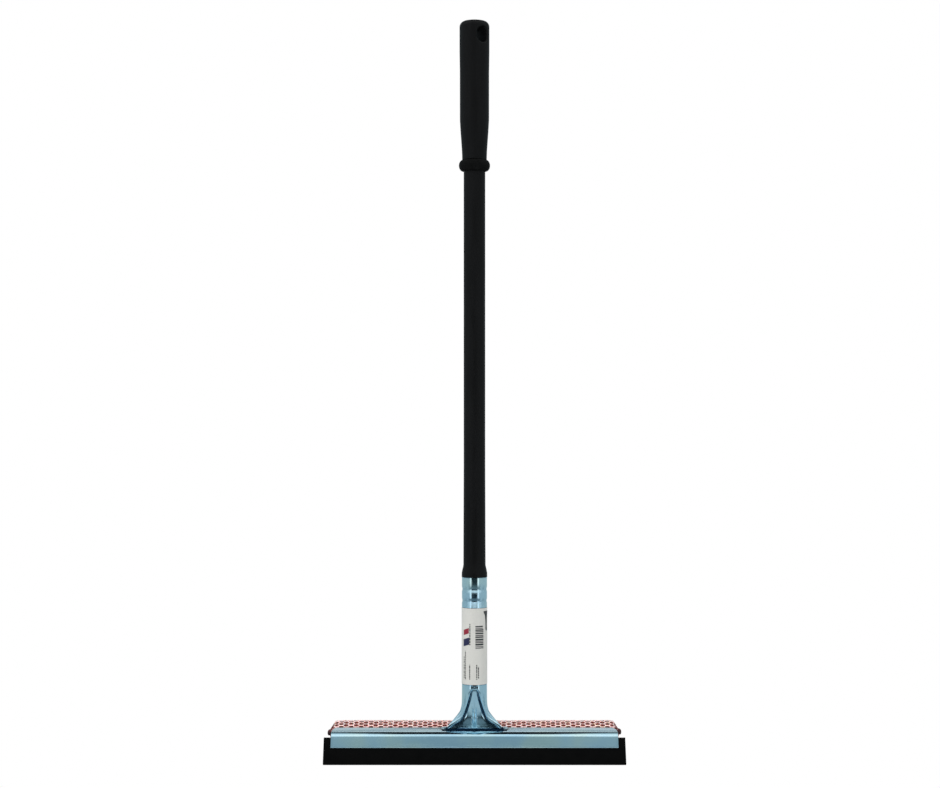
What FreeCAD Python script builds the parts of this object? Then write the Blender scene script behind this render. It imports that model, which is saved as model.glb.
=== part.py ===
import FreeCAD, Part
import math
import os
import Sketcher
from FreeCAD import Placement, Rotation, Vector

# Window squeegee: a moulded handle with a hanging slot, crimped into a rolled steel ferrule whose flattened
# foot is riveted on a folded steel head. The head holds a rubber blade in front and a netted sponge behind.
# Millimetres and degrees. The origin is the middle of the rubber's wiping face, +X runs along the blade,
# +Z up along the handle and +Y to the back. The rubber leans, so its top is further back than its edge.

DIMENSIONS = {
    # rubber blade
    "blade_length": 254.0,
    "blade_height": 23.2,
    "blade_thick": 3.2,
    "blade_bare": 13.7,          # rubber showing below the steel
    "blade_lean": 30.0,
    # folded head
    "sheet": 0.9,
    "shell_length": 242.0,
    "shell_nose": 6.5,           # outer bend radius between face and flange
    "shell_bend": 1.8,           # outer bend radius above the rear lip
    "flange_top": 24.6,
    "flange_rear": 36.8,
    "corner_cut": 3.0,
    "corner_run": 12.0,          # the cut corner starts this far in front of the flange's rear
    "corner_past": 3.0,          # and ends this far behind it
    "lip_tilt": 20.0,            # the rear lip and the sponge lean this far from upright
    "lip_run": 4.7,
    "net_gap": 0.8,
    "plate_length": 239.0,
    "plate_wall": 19.4,
    "plate_return": 4.6,
    "plate_hook": 0.4,
    # sponge and its net
    "sponge_length": 246.0,
    "sponge_deep": 17.1,
    "sponge_tall": 25.0,
    "sponge_top_round": 8.0,
    "sponge_low_round": 5.0,
    "sponge_inner_round": 2.0,
    "net": 0.85,
    "net_end": 2.4,
    "net_room": 0.05,
    # handle's axis and ferrule
    "handle_back": 24.1,
    "tube_radius": 10.7,
    "tube_wall": 0.8,
    "tube_top": 155.0,
    "tube_low": 63.5,            # below this the tube is pressed into the foot
    "crimp_upper": 144.7,
    "crimp_lower": 134.9,
    "crimp_depth": 0.4,
    "crimp_half": 2.0,
    "crimp_flat": 0.5,
    "seam": 0.5,
    "foot_half": 28.0,
    "foot_front": 0.9,           # in front of the handle's axis
    "foot_back": 11.5,           # and behind it
    "foot_corner": 2.0,
    "foot_undercut": 0.4,
    "foot_hollow": 34.0,         # the foot's walls are pressed together below this height
    "ridge_width": 1.5,
    "dimple_wall": 1.6,          # across the slope between the dimple's floor and its lip
    "rivet_out": 23.2,
    "rivet_back": 4.5,           # behind the handle's axis
    "rivet_radius": 1.5,
    "rivet_room": 0.05,
    "rivet_head": 2.75,
    "rivet_dome": 1.1,
    "label_low": 64.5,
    "label_high": 129.0,
    "label_thick": 0.15,
    "label_room": 0.02,
    "label_wrap": 280.0,
    # handle
    "press_room": 0.05,
    "core_radius": 6.9,
    "core_low": 112.0,
    "spigot_low": 110.0,
    "spigot_radius": 9.8,
    "bell_radius": 10.9,
    "bell_side_radius": 10.8,
    "bell_side_top": 158.5,
    "bell_round_radius": 10.2,
    "bell_round_top": 161.5,
    "bell_top": 165.0,
    "shaft_low_radius": 9.42,
    "shaft_radius": 9.15,
    "shaft_taper_top": 250.0,
    "shaft_bore": 6.95,
    "shaft_bore_top": 487.3,
    "shoulder": 499.3,
    "neck_radius": 8.25,
    "neck_bore": 6.25,
    "neck_bore_low": 491.3,
    "neck_top": 600.0,
    "ring_middle": 504.2,
    "ring_radius": 13.25,
    "ring_half": 4.85,
    "grip_low": 509.3,
    "grip_top": 627.3,
    "grip_bore_end": 602.0,
    "grip_bore_tip": 606.0,
    "grip_round": 5.0,
    "crown_drop": 0.6,
    "slot_width": 9.5,
    "slot_height": 13.4,
    "slot_middle": 614.3,
    "slot_turn": 35.0,
    "slot_lip": 1.2,
}

# Up the outside of the grip: height above its lower end, radius.
GRIP_COLUMNS = ("level", "radius")
GRIP_OUTLINE = (
    (0.0, 10.42), (8.1, 10.7), (23.4, 11.8), (33.7, 12.38), (73.7, 12.42), (90.7, 12.67), (109.7, 12.67),
)

# The pressed foot of the ferrule, from the flange up: height, half width, half width of the front dimple,
# front and back depth from the handle's axis, depth of the dimple, height of its middle ridge.
FOOT_COLUMNS = ("level", "half", "dimple", "front", "back", "press", "ridge")
FOOT_SECTIONS = (
    (25.4, 24.8, 21.2, 0.6, 4.2, 0.3, 0.3),
    (28.6, 22.3, 18.2, 1.4, 4.6, 0.9, 0.8),
    (30.9, 20.3, 14.4, 2.4, 5.2, 1.6, 1.2),
    (34.0, 17.6, 11.0, 4.0, 6.2, 2.7, 1.6),
    (37.4, 14.8, 9.3, 5.4, 7.3, 3.7, 1.7),
    (41.9, 12.0, 7.7, 7.2, 8.6, 4.3, 1.4),
    (47.6, 10.9, 6.0, 8.8, 9.8, 3.8, 0.6),
    (53.2, 10.72, 4.4, 9.9, 10.4, 2.8, 0.1),
    (58.4, 10.7, 3.2, 10.6, 10.68, 1.7, 0.0),
    (61.0, 10.7, 2.5, 10.7, 10.7, 0.25, 0.0),
    (63.5, 10.7, 2.4, 10.7, 10.7, 0.0, 0.0),
)

FOOT_STEPS = 26                  # sections lofted between the flange and the round tube
FLOOR_POINTS = (0.06, 0.13, 0.22, 0.36, 0.55, 0.78)     # across the dimple's floor, as shares of its half
WALL_POINTS = (-0.5, -0.25, 0.0, 0.25, 0.5)             # across its slope, as shares of the slope's width
ROLL_STEPS = 6                   # points from the dimple's lip round to the side of the foot
BACK_STEPS = 18                  # points round the foot's back
RING_STEPS = 16                  # points round the bead's outside
RING_SIDE = 0.3                  # share of the bead's depth that stands straight before it rounds over
DOME_STEPS = 5                   # points over half of a rivet's head

NOTHING = 1e-9                   # a size below this is taken as zero
SAME_LEVEL = 0.01                # heights this close are the same
LEAST_CUT = 0.01                 # cubic millimetres that a cut has to take away
FUSE_TOLERANCE = 0.002           # gap that is closed where the ferrule's parts meet
SLOT_REACH = 0.55                # the slot's rims lie within this share of its height from its middle
SKIN_SHARE = 0.7                 # edges further out than this share of the grip's radius are on its skin

CELLS = "Dimensions"
ORIGIN = (-1, 1)                 # the Sketcher's numbers for a sketch's own origin
LEVEL_AXIS = -1
UPRIGHT_AXIS = -2

doc = FreeCAD.newDocument("squeegee")


class Size:
    """A size from the sheet, kept both as a number and as the text that binds something to its cell."""

    def __init__(self, number, text):
        self.number = number
        self.text = text

    def joined(self, other, sign, number):
        return Size(number, f"({self.text} {sign} {as_size(other).text})")

    def __add__(self, other):
        return self.joined(other, "+", self.number + as_size(other).number)

    def __sub__(self, other):
        return self.joined(other, "-", self.number - as_size(other).number)

    def __mul__(self, other):
        return self.joined(other, "*", self.number * as_size(other).number)

    def __truediv__(self, other):
        return self.joined(other, "/", self.number / as_size(other).number)

    def __neg__(self):
        return Size(-self.number, f"(0 - {self.text})")

    def __rsub__(self, other):
        return as_size(other) - self


def as_size(thing):
    return thing if isinstance(thing, Size) else Size(float(thing), str(float(thing)))


def cell(name):
    """A size read back from the sheet by its alias."""
    return Size(doc.getObject(CELLS).get(name), f"{CELLS}.{name}")


def table_cells(name, columns, rows):
    """Gives every number of a table a cell of its own, such as foot_half_3 in the foot's third row."""
    cells = {}
    for index, row in enumerate(rows, 1):
        for column, number in zip(columns, row):
            cells[f"{name}_{column}_{index}"] = number
    return cells


def table(name, columns, rows):
    """The rows of a table, read back from the sheet."""
    return [[cell(f"{name}_{column}_{index}") for column in columns] for index in range(1, len(rows) + 1)]


def sin_of(angle):
    return Size(math.sin(math.radians(angle.number)), f"sin({angle.text})")


def cos_of(angle):
    return Size(math.cos(math.radians(angle.number)), f"cos({angle.text})")


def tan_of(angle):
    return Size(math.tan(math.radians(angle.number)), f"tan({angle.text})")


def make_cells():
    sheet = doc.addObject("Spreadsheet::Sheet", CELLS)
    cells = dict(DIMENSIONS)
    cells.update(table_cells("grip", GRIP_COLUMNS, GRIP_OUTLINE))
    cells.update(table_cells("foot", FOOT_COLUMNS, FOOT_SECTIONS))
    for row, (name, number) in enumerate(cells.items(), 1):
        sheet.set(f"A{row}", name)
        sheet.set(f"B{row}", str(number))
        sheet.setAlias(f"B{row}", name)
    doc.recompute()


def bind(thing, **sizes):
    for name, size in sizes.items():
        thing.setExpression(name, size.text)


def place(thing, y=None, z=None, turn=None, axis=Vector(1, 0, 0)):
    """Moves an object back by y and up by z and turns it by an angle, all bound to the sheet."""
    back = as_size(y if y is not None else 0.0)
    up = as_size(z if z is not None else 0.0)
    angle = as_size(turn if turn is not None else 0.0)
    thing.Placement = Placement(Vector(0, back.number, up.number), Rotation(axis, angle.number))
    thing.setExpression("Placement.Base.y", back.text)
    thing.setExpression("Placement.Base.z", up.text)
    if turn is not None:
        thing.setExpression("Placement.Rotation.Angle", f"({angle.text}) * 1 deg")


def new_body(label):
    body = doc.addObject("PartDesign::Body", label)
    body.Label = label
    return body


def new_sketch(body, name, role):
    sketch = body.newObject("Sketcher::SketchObject", name)
    plane = next(f for f in body.Origin.OriginFeatures if f.Role == role)
    sketch.AttachmentSupport = [(plane, "")]
    sketch.MapMode = "FlatFace"
    return sketch


def dimension(sketch, kind, *where, size):
    index = sketch.addConstraint(Sketcher.Constraint(kind, *where, size.number))
    sketch.setExpression(f"Constraints[{index}]", size.text)


def pin_point(sketch, line, end, x, y):
    """Holds one end of a line at (x, y) from the sketch's origin."""
    for kind, axis, size in (("DistanceX", UPRIGHT_AXIS, x), ("DistanceY", LEVEL_AXIS, y)):
        size = as_size(size)
        if abs(size.number) < NOTHING:
            sketch.addConstraint(Sketcher.Constraint("PointOnObject", line, end, axis))
        else:
            dimension(sketch, kind, *ORIGIN, line, end, size=size)


def polygon(sketch, corners):
    """A closed outline of straight lines, each corner held at its sizes."""
    points = [Vector(as_size(x).number, as_size(y).number, 0) for x, y in corners]
    first = sketch.GeometryCount
    for here, there in zip(points, points[1:] + points[:1]):
        sketch.addGeometry(Part.LineSegment(here, there))
    count = len(points)
    for i in range(count):
        after = first + (i + 1) % count
        sketch.addConstraint(Sketcher.Constraint("Coincident", first + i, 2, after, 1))
    for i, (x, y) in enumerate(corners):
        pin_point(sketch, first + i, 1, x, y)


def heading(degrees):
    angle = math.radians(degrees)
    return Vector(math.cos(angle), math.sin(angle), 0)


def bent_sheet(sketch, start, runs, bends, thick):
    """The section of a folded sheet. It starts at start on its left-hand side; runs are the straight
    stretches as (direction in degrees, length) and bends the radii of its left-hand side between them."""
    count = len(runs)
    turns = [runs[i + 1][0].number - runs[i][0].number for i in range(count - 1)]
    left, right, arcs = [], [], []
    here = Vector(as_size(start[0]).number, as_size(start[1]).number, 0)
    for i, (angle, length) in enumerate(runs):
        along = heading(angle.number)
        aside = heading(angle.number - 90) * thick.number
        there = here + along * length.number
        left.append((here, there))
        right.append((here + aside, there + aside))
        if i < count - 1:
            side = 90 if turns[i] > 0 else -90
            centre = there + heading(angle.number + side) * bends[i].number
            ends = (angle.number - side, runs[i + 1][0].number - side)
            arcs.append((centre, bends[i].number, ends))
            here = centre + heading(ends[1]) * bends[i].number
    for points in left + right:
        sketch.addGeometry(Part.LineSegment(*points))
    for extra in (0.0, thick.number):
        for (centre, radius, ends), turn in zip(arcs, turns):
            circle = Part.Circle(centre, Vector(0, 0, 1), radius + math.copysign(extra, turn))
            begin, finish = (math.radians(a) for a in sorted(ends))
            sketch.addGeometry(Part.ArcOfCircle(circle, begin, finish))
    caps = (
        sketch.addGeometry(Part.LineSegment(right[0][0], left[0][0])),
        sketch.addGeometry(Part.LineSegment(left[-1][1], right[-1][1])),
    )
    add = sketch.addConstraint
    for i, turn in enumerate(turns):
        entry, leave = (1, 2) if turn > 0 else (2, 1)
        for line, arc in ((i, 2 * count + i), (count + i, 3 * count - 1 + i)):
            add(Sketcher.Constraint("Tangent", line, 2, arc, entry))
            add(Sketcher.Constraint("Tangent", arc, leave, line + 1, 1))
        dimension(sketch, "Radius", 2 * count + i, size=bends[i])
    for i, (angle, length) in enumerate(runs):
        index = add(Sketcher.Constraint("Angle", i, math.radians(angle.number)))
        sketch.setExpression(f"Constraints[{index}]", f"({angle.text}) * 1 deg")
        dimension(sketch, "Distance", i, size=length)
        if i > 0:
            add(Sketcher.Constraint("Parallel", i, count + i))
    add(Sketcher.Constraint("Coincident", caps[0], 1, count, 1))
    add(Sketcher.Constraint("Coincident", caps[0], 2, 0, 1))
    add(Sketcher.Constraint("Coincident", caps[1], 1, count - 1, 2))
    add(Sketcher.Constraint("Coincident", caps[1], 2, 2 * count - 1, 2))
    add(Sketcher.Constraint("Perpendicular", caps[0], 0))
    add(Sketcher.Constraint("Perpendicular", caps[1], count - 1))
    dimension(sketch, "Distance", caps[0], size=thick)
    pin_point(sketch, 0, 1, *start)


def pad_both_ways(body, sketch, name, length):
    pad = body.newObject("PartDesign::Pad", name)
    pad.Profile = sketch
    pad.Midplane = True
    bind(pad, Length=length)
    doc.recompute()
    return pad


def turn_about_axis(body, sketch, name, angle=None):
    """Revolves a sketch about the body's own z axis, all the way or evenly to both sides of the sketch."""
    solid = body.newObject("PartDesign::Revolution", name)
    solid.Profile = sketch
    solid.ReferenceAxis = (sketch, ["V_Axis"])
    solid.Angle = 360.0
    if angle is not None:
        solid.Midplane = True
        bind(solid, Angle=angle)
    doc.recompute()
    return solid


def round_edges(body, feature, name, radius, chosen):
    """Fillets the edges of a feature whose middle point passes the test chosen."""
    edges = []
    for i, edge in enumerate(feature.Shape.Edges, 1):
        if chosen(edge):
            edges.append(f"Edge{i}")
    if not edges:
        raise RuntimeError(f"{name} finds no edges")
    fillet = body.newObject("PartDesign::Fillet", name)
    fillet.Base = (feature, edges)
    bind(fillet, Radius=radius)
    doc.recompute()
    return fillet


def cut_through(body, sketch, name):
    """Pockets a sketch all the way through a body, and makes sure that something was cut."""
    before = body.Shape.Volume
    pocket = body.newObject("PartDesign::Pocket", name)
    pocket.Profile = sketch
    pocket.Midplane = True
    pocket.Type = "ThroughAll"
    doc.recompute()
    if body.Shape.Volume > before - LEAST_CUT:
        raise RuntimeError(f"{name} cuts nothing")
    return pocket


def drill_for_rivets(body):
    """Cuts the two rivet holes through a folded sheet from above."""
    sketch = new_sketch(body, f"{body.Label}_rivet_holes", "XY_Plane")
    radius = cell("rivet_radius") + cell("rivet_room")
    for side in (1, -1):
        x = cell("rivet_out") * side
        y = cell("handle_back") + cell("rivet_back")
        centre = Vector(x.number, y.number, 0)
        index = sketch.addGeometry(Part.Circle(centre, Vector(0, 0, 1), radius.number))
        dimension(sketch, "Radius", index, size=radius)
        pin_point(sketch, index, 3, x, y)
    cut_through(body, sketch, f"{body.Label}_holes")


def point_on_blade(across, up):
    """Y and Z of a point given by its distance behind the rubber's middle and its height up the rubber."""
    lean = cell("blade_lean")
    y = cos_of(lean) * across + sin_of(lean) * up
    z = cos_of(lean) * up - sin_of(lean) * across
    return y, z


def rubber_blade():
    body = new_body("rubber_blade")
    sketch = new_sketch(body, "blade_section", "YZ_Plane")
    half = cell("blade_thick") / 2
    top = cell("blade_height")
    polygon(sketch, [(-half, 0.0), (half, 0.0), (half, top), (-half, top)])
    pad_both_ways(body, sketch, "blade_strip", cell("blade_length"))
    place(body, turn=cell("blade_lean"), axis=Vector(-1, 0, 0))
    return body


def head_shell():
    """The outer sheet: down the front of the rubber, over the top and down a short rear lip."""
    body = new_body("head_shell")
    sketch = new_sketch(body, "shell_section", "YZ_Plane")
    face_out = cell("blade_thick") / 2 + cell("sheet")
    start = point_on_blade(-face_out, cell("blade_bare"))
    face_turn = 90 - cell("blade_lean")
    lip_turn = 90 - cell("lip_tilt")
    nose_back = cell("shell_nose") * tan_of(face_turn / 2)
    bend_back = cell("shell_bend") * tan_of(lip_turn / 2)
    rise = (cell("flange_top") - start[1]) / sin_of(face_turn)
    corner_y = start[0] + rise * cos_of(face_turn)
    runs = (
        (face_turn, rise - nose_back),
        (as_size(0), cell("flange_rear") - corner_y - nose_back - bend_back),
        (-lip_turn, cell("lip_run")),
    )
    bends = (cell("shell_nose"), cell("shell_bend"))
    bent_sheet(sketch, start, runs, bends, cell("sheet"))
    pad_both_ways(body, sketch, "shell_sheet", cell("shell_length"))
    corners = new_sketch(body, "shell_corners", "XY_Plane")
    end = cell("shell_length") / 2
    beyond = end + cell("sheet")
    rear = cell("flange_rear") + cell("corner_past")
    front = cell("flange_rear") - cell("corner_run")
    for side in (1, -1):
        triangle = [(end * side, front), (beyond * side, front), (beyond * side, rear)]
        triangle.append(((end - cell("corner_cut")) * side, rear))
        polygon(corners, triangle)
    cut_through(body, corners, "corner_cuts")
    drill_for_rivets(body)
    return body


def backing_plate():
    """The inner sheet: up the rubber's back, under the flange, down behind and hooked out below."""
    body = new_body("backing_plate")
    sketch = new_sketch(body, "plate_section", "YZ_Plane")
    start = point_on_blade(cell("blade_thick") / 2, cell("blade_bare"))
    face_turn = 90 - cell("blade_lean")
    lip_turn = 90 - cell("lip_tilt")
    top = cell("flange_top") - cell("sheet")
    rise = (top - start[1]) / sin_of(face_turn)
    front_y = start[0] + rise * cos_of(face_turn)
    inset = cell("sheet") + cell("net_gap")
    lean = cell("lip_tilt")
    rear_y = cell("flange_rear") + (cell("sheet") * sin_of(lean) - inset) / cos_of(lean)
    bend = cell("shell_bend")
    front_back = bend * tan_of(face_turn / 2)
    rear_back = bend * tan_of(lip_turn / 2)
    runs = (
        (face_turn, rise - front_back),
        (as_size(0), rear_y - front_y - front_back - rear_back),
        (-lip_turn, cell("plate_wall")),
        (180 - lip_turn, cell("plate_return")),
    )
    bends = (bend, bend, cell("plate_hook"))
    bent_sheet(sketch, start, runs, bends, cell("sheet"))
    pad_both_ways(body, sketch, "plate_sheet", cell("plate_length"))
    drill_for_rivets(body)
    return body


def sponge_block(body, name, grow, length):
    """A rounded block in the sponge's own leaning axes, grown all round by grow."""
    sketch = new_sketch(body, f"{name}_section", "YZ_Plane")
    near = cell("net") - grow
    far = cell("net") + cell("sponge_deep") + grow
    low = -cell("sponge_tall") - grow
    top = as_size(grow)
    polygon(sketch, [(near, low), (far, low), (far, top), (near, top)])
    pad = pad_both_ways(body, sketch, name, length)
    middle = (near.number + far.number) / 2
    level = (low.number + top.number) / 2

    def lengthwise(edge, back, high):
        centre = edge.CenterOfMass
        along = edge.BoundBox.XLength > length.number / 2
        return along and (centre.y > middle) == back and (centre.z > level) == high

    rounded = round_edges(
        body, pad, f"{name}_top", cell("sponge_top_round") + grow, lambda e: lengthwise(e, True, True)
    )
    rounded = round_edges(
        body, rounded, f"{name}_low", cell("sponge_low_round") + grow, lambda e: lengthwise(e, True, False)
    )
    return round_edges(
        body, rounded, f"{name}_near", cell("sponge_inner_round") + grow,
        lambda e: lengthwise(e, False, True) or lengthwise(e, False, False),
    )


def lean_with_lip(body):
    place(body, cell("flange_rear"), cell("flange_top"), turn=cell("lip_tilt"))


def scrubber_sponge():
    body = new_body("scrubber_sponge")
    sponge_block(body, "sponge", as_size(0), cell("sponge_length"))
    lean_with_lip(body)
    return body


def scrubber_mesh():
    """The net's envelope: a closed skin round the sponge."""
    room = cell("net_room")
    length = cell("sponge_length")
    outer = new_body("net_outer")
    sponge_block(outer, "net_outside", cell("net") - room, length + cell("net_end") * 2)
    inner = new_body("net_inner")
    sponge_block(inner, "net_inside", room, length + room * 2)
    skin = doc.addObject("Part::Cut", "scrubber_mesh")
    skin.Label = "scrubber_mesh"
    skin.Base = outer
    skin.Tool = inner
    lean_with_lip(skin)
    doc.recompute()
    return skin


def dome(radius, level, rise):
    """Points over a low round head, from its rim to its middle."""
    points = []
    for step in range(DOME_STEPS + 1):
        angle = math.pi / 2 * step / DOME_STEPS
        points.append((radius * math.cos(angle), level + rise * math.sin(angle)))
    return points


def rivet(label, side):
    """A domed rivet through the foot, the flange and the inner sheet."""
    body = new_body(label)
    sketch = new_sketch(body, f"{label}_section", "XZ_Plane")
    shank = cell("rivet_radius")
    head = cell("rivet_head")
    above = cell("sheet")
    below = -cell("sheet") * 2
    outline = dome(head, below, -cell("rivet_dome"))[::-1]
    outline += [(shank, below), (shank, above)]
    outline += dome(head, above, cell("rivet_dome"))
    polygon(sketch, outline)
    turn_about_axis(body, sketch, f"{label}_turned")
    place(body, cell("handle_back") + cell("rivet_back"), cell("flange_top"))
    out = cell("rivet_out") * side
    body.setExpression("Placement.Base.x", out.text)
    doc.recompute()
    return body


def crimped_profile(radius, low, high):
    """Points up the side of a tube with both crimp grooves rolled into it."""
    points = [(radius, low)]
    sunk = radius - cell("crimp_depth")
    half = cell("crimp_half")
    flat = cell("crimp_flat")
    for groove in (cell("crimp_lower"), cell("crimp_upper")):
        points += [(radius, groove - half), (sunk, groove - flat)]
        points += [(sunk, groove + flat), (radius, groove + half)]
    points.append((radius, high))
    return points


def slopes(heights, column):
    """Slopes that carry a smooth curve through a column of numbers without overshooting any of them."""
    steps = [b - a for a, b in zip(heights, heights[1:])]
    rises = [(b - a) / step for a, b, step in zip(column, column[1:], steps)]
    middle = []
    for before, after, left, right in zip(rises, rises[1:], steps, steps[1:]):
        if before * after <= 0:
            middle.append(0.0)
        else:
            near, far = left + 2 * right, 2 * left + right
            middle.append((near + far) / (near / before + far / after))
    return [rises[0], *middle, rises[-1]]


def foot_section(sections, height):
    """The section at any height, eased between the listed ones."""
    heights = [row[0] for row in sections]
    i = max(k for k in range(len(heights) - 1) if heights[k] <= height)
    step = heights[i + 1] - heights[i]
    t = (height - heights[i]) / step
    section = [height]
    for column in list(zip(*sections))[1:]:
        slope = slopes(heights, column)
        section.append(
            (1 + 2 * t) * (1 - t) ** 2 * column[i] + t * (1 - t) ** 2 * step * slope[i]
            + t * t * (3 - 2 * t) * column[i + 1] + t * t * (t - 1) * step * slope[i + 1]
        )
    return section


def foot_outline(section, ridge_width, wall_run):
    """Two curves round one section: across the dimpled front from left to right, then round the back."""
    height, half, dimple, front, back, press, ridge = section
    floor = dimple - wall_run / 2
    right = [floor * f for f in FLOOR_POINTS] + [dimple + wall_run * f for f in WALL_POINTS]
    across = []
    for x in [-x for x in reversed(right)] + [0.0] + right:
        up_wall = min(1.0, max(0.0, (abs(x) - floor) / wall_run))
        y = -front * math.sqrt(1 - (x / half) ** 2)
        y += press * (1 - up_wall * up_wall * (3 - 2 * up_wall))
        y -= ridge * math.exp(-((x / ridge_width) ** 2))
        across.append(Vector(x, y, height))
    lip = math.acos(right[-1] / half)
    angles = [-lip * (1 - k / ROLL_STEPS) for k in range(ROLL_STEPS)]
    angles += [math.pi * k / BACK_STEPS for k in range(BACK_STEPS + 1)]
    angles += [math.pi + lip * k / ROLL_STEPS for k in range(1, ROLL_STEPS + 1)]
    around = []
    for angle in angles:
        depth = front if math.sin(angle) < 0 else back
        around.append(Vector(half * math.cos(angle), depth * math.sin(angle), height))
    around[0], around[-1] = across[-1], across[0]
    return across, around


def shared_parameters(curves):
    """Parameters for points along curves of one kind, from their average spacing."""
    spans = [0.0] * (len(curves[0]) - 1)
    for points in curves:
        for i, (here, there) in enumerate(zip(points, points[1:])):
            spans[i] += (there - here).Length
    parameters = [0.0]
    for span in spans:
        parameters.append(parameters[-1] + span / sum(spans))
    return parameters


def lofted(outlines):
    """A solid through the outlines, whose curves share their parameters so that the surface stays even."""
    edges = [[] for outline in outlines]
    for curves in zip(*outlines):
        parameters = shared_parameters(curves)
        for own, points in zip(edges, curves):
            curve = Part.BSplineCurve()
            curve.interpolate(Points=points, Parameters=parameters)
            own.append(curve.toShape())
    return Part.makeLoft([Part.Wire(own) for own in edges], True, False)


def turned(points):
    """A solid turned about the z axis from (radius, height) points."""
    corners = [Vector(r, 0, z) for r, z in points]
    face = Part.Face(Part.makePolygon(corners + corners[:1]))
    return face.revolve(Vector(), Vector(0, 0, 1), 360)


def pressed_foot():
    """The foot lofted through its sections, hollow where its walls stand apart."""
    sections = [[size.number for size in row] for row in table("foot", FOOT_COLUMNS, FOOT_SECTIONS)]
    widths = cell("ridge_width").number, cell("dimple_wall").number
    wall = cell("tube_wall").number
    hollow_from = cell("foot_hollow").number
    bottom, top = sections[0][0], sections[-1][0]
    outlines, insides = [], []
    for k in range(FOOT_STEPS + 1):
        section = foot_section(sections, bottom + (top - bottom) * k / FOOT_STEPS)
        outlines.append(foot_outline(section, *widths))
        height, half, dimple, front, back, press, ridge = section
        if height >= hollow_from:
            inner = (height, half - wall, dimple + wall, front - wall, back - wall, press, ridge)
            insides.append(foot_outline(inner, *widths))
    return lofted(outlines).cut(lofted(insides))


def foot_plate():
    """The flat flange under the foot, with its two rivet holes."""
    half, sheet = cell("foot_half").number, cell("sheet").number
    front, back = cell("foot_front").number, cell("foot_back").number
    base = cell("flange_top").number
    plate = Part.makeBox(2 * half, front + back, sheet, Vector(-half, -front, base))
    upright = [e for e in plate.Edges if e.BoundBox.ZLength > sheet / 2]
    plate = plate.makeFillet(cell("foot_corner").number, upright)
    under = [e for e in plate.Edges if e.BoundBox.ZMax < base + sheet / 2 and e.CenterOfMass.y < 0]
    plate = plate.makeChamfer(cell("foot_undercut").number, under)
    radius = (cell("rivet_radius") + cell("rivet_room")).number
    for side in (1, -1):
        where = Vector(side * cell("rivet_out").number, cell("rivet_back").number, base - sheet)
        plate = plate.cut(Part.makeCylinder(radius, 3 * sheet, where))
    return plate


def ferrule():
    """The steel socket. Its round part is turned and its pressed foot is lofted, so it has its own shape."""
    radius, low, top = cell("tube_radius"), cell("tube_low"), cell("tube_top")
    wall = cell("tube_wall").number
    outside = [(r.number, z.number) for r, z in crimped_profile(radius, low, top)]
    inside = [(r - wall, z) for r, z in reversed(outside)]
    gap = cell("seam").number
    corner = Vector(-gap / 2, radius.number / 2, low.number)
    slit = Part.makeBox(gap, radius.number, top.number, corner)
    shape = turned(outside + inside).fuse([pressed_foot(), foot_plate()], FUSE_TOLERANCE)
    shape = shape.cut(slit).removeSplitter()
    if shape.ShapeType == "Compound" and len(shape.Solids) == 1:
        shape = shape.Solids[0]
    feature = doc.addObject("Part::Feature", "ferrule")
    feature.Label = "ferrule"
    feature.Shape = shape
    place(feature, cell("handle_back"))
    doc.recompute()
    return feature


def turned_body(label, corners):
    """A body turned about the handle's axis."""
    body = new_body(label)
    sketch = new_sketch(body, f"{label}_section", "XZ_Plane")
    polygon(sketch, corners)
    turn_about_axis(body, sketch, f"{label}_turned")
    place(body, cell("handle_back"))
    return body


def product_label():
    body = new_body("product_label")
    sketch = new_sketch(body, "label_section", "XZ_Plane")
    near = cell("tube_radius") + cell("label_room")
    far = near + cell("label_thick")
    low, high = cell("label_low"), cell("label_high")
    polygon(sketch, [(near, low), (far, low), (far, high), (near, high)])
    turn_about_axis(body, sketch, "label_wrap", cell("label_wrap"))
    place(body, cell("handle_back"), turn=as_size(-90), axis=Vector(0, 0, 1))
    return body


def spigot_core():
    radius = cell("core_radius")
    low, high = cell("core_low"), cell("tube_top")
    return turned_body("spigot_core", [(0.0, low), (radius, low), (radius, high), (0.0, high)])


def handle_shaft():
    """A hollow shaft: a spigot crimped in the ferrule, a bell-shaped shoulder and a neck for the grip."""
    outline = crimped_profile(cell("spigot_radius"), cell("spigot_low"), cell("tube_top"))
    outline += [
        (cell("bell_radius"), cell("tube_top")),
        (cell("bell_side_radius"), cell("bell_side_top")),
        (cell("bell_round_radius"), cell("bell_round_top")),
        (cell("shaft_low_radius"), cell("bell_top")),
        (cell("shaft_radius"), cell("shaft_taper_top")),
        (cell("shaft_radius"), cell("shoulder")),
        (cell("neck_radius"), cell("shoulder")),
        (cell("neck_radius"), cell("neck_top")),
        (cell("neck_bore"), cell("neck_top")),
        (cell("neck_bore"), cell("neck_bore_low")),
        (cell("shaft_bore"), cell("shaft_bore_top")),
        (cell("shaft_bore"), cell("spigot_low")),
    ]
    return turned_body("handle_shaft", outline)


def drip_ring():
    """A round bead pressed on the neck between the shaft's shoulder and the grip."""
    bore = cell("neck_radius") + cell("press_room")
    middle, half = cell("ring_middle"), cell("ring_half")
    deep = cell("ring_radius") - bore
    outline = [(bore, middle - half)]
    for step in range(RING_STEPS + 1):
        angle = math.pi * (step / RING_STEPS - 0.5)
        out = bore + deep * (RING_SIDE + (1 - RING_SIDE) * math.cos(angle))
        outline.append((out, middle + half * math.sin(angle)))
    outline.append((bore, middle + half))
    return turned_body("drip_ring", outline)


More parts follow.
